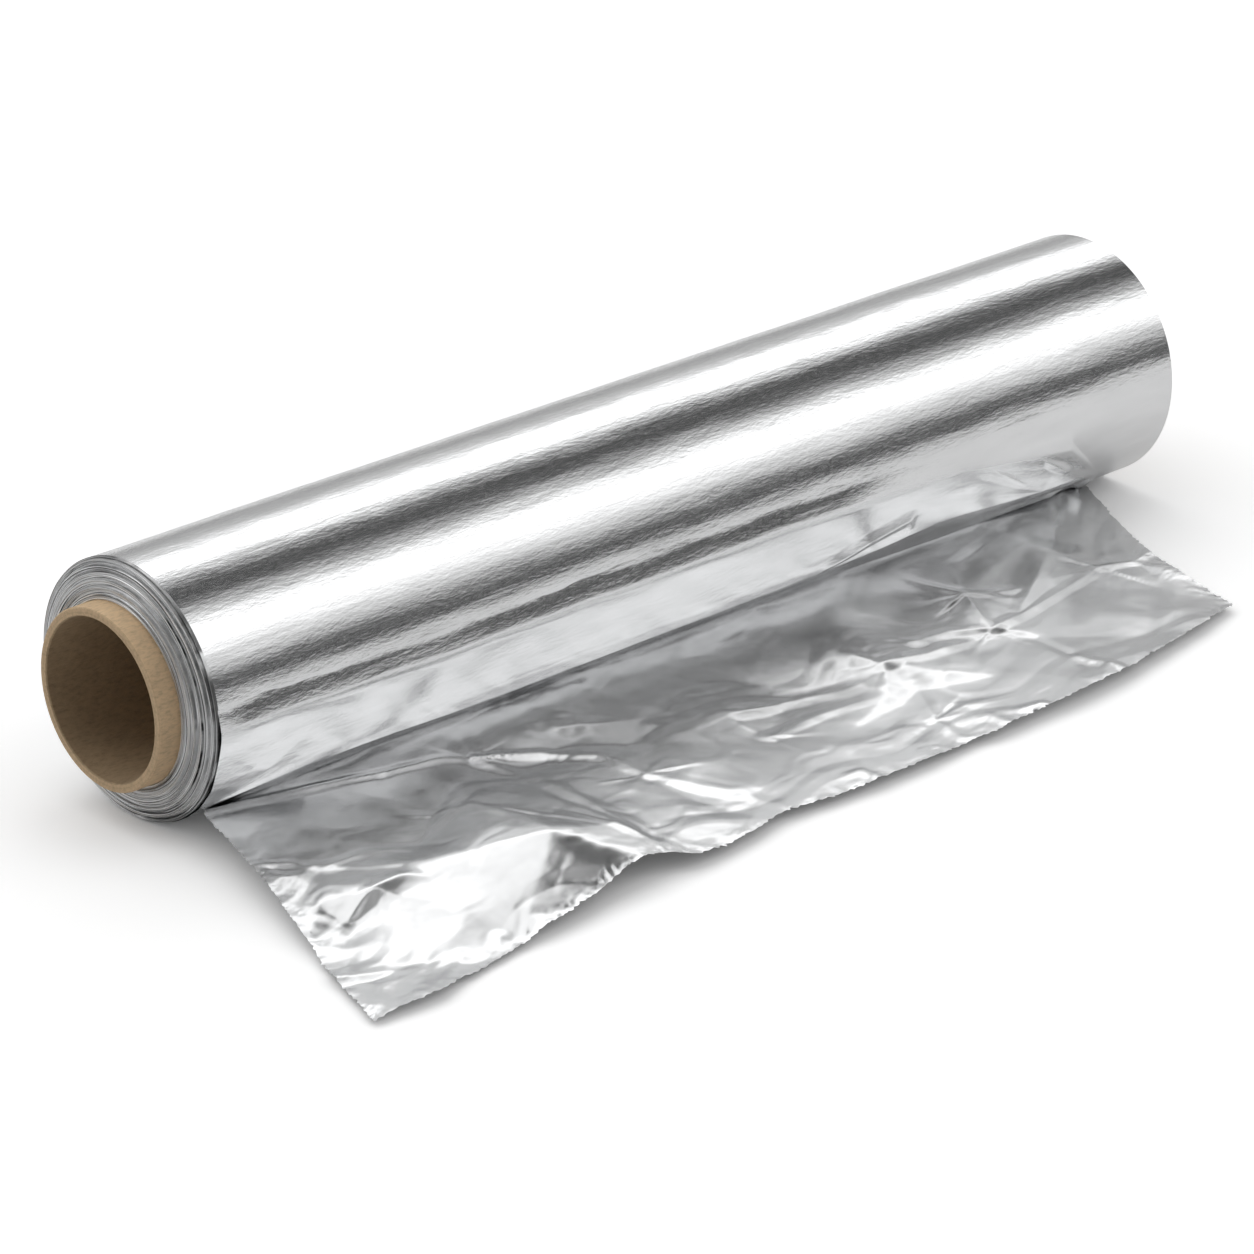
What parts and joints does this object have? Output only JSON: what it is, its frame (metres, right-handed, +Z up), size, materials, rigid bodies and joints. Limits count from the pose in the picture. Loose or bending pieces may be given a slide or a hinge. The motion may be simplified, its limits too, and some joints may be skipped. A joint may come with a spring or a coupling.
{
  "type": "aluminium foil roll",
  "caption": "Wound roll of thin household foil on a cardboard core, lying on its side, with its creased free end drawn out flat in front of it.",
  "frame": {"origin": "on the axis of the core's bore, halfway along the wound width of the foil", "axes": "+X along the core from the end where the core stands out furthest, +Z up, and the drawn-out tail lies towards -Y"},
  "size_m": [0.3268, 0.1417, 0.0603],
  "materials": {
    "core_card": "plain kraft winding board",
    "foil": "bright rolled foil"
  },
  "bodies": {
    "root": {"core_tube": "core_card", "foil": "foil"}
  },
  "joints": []
}
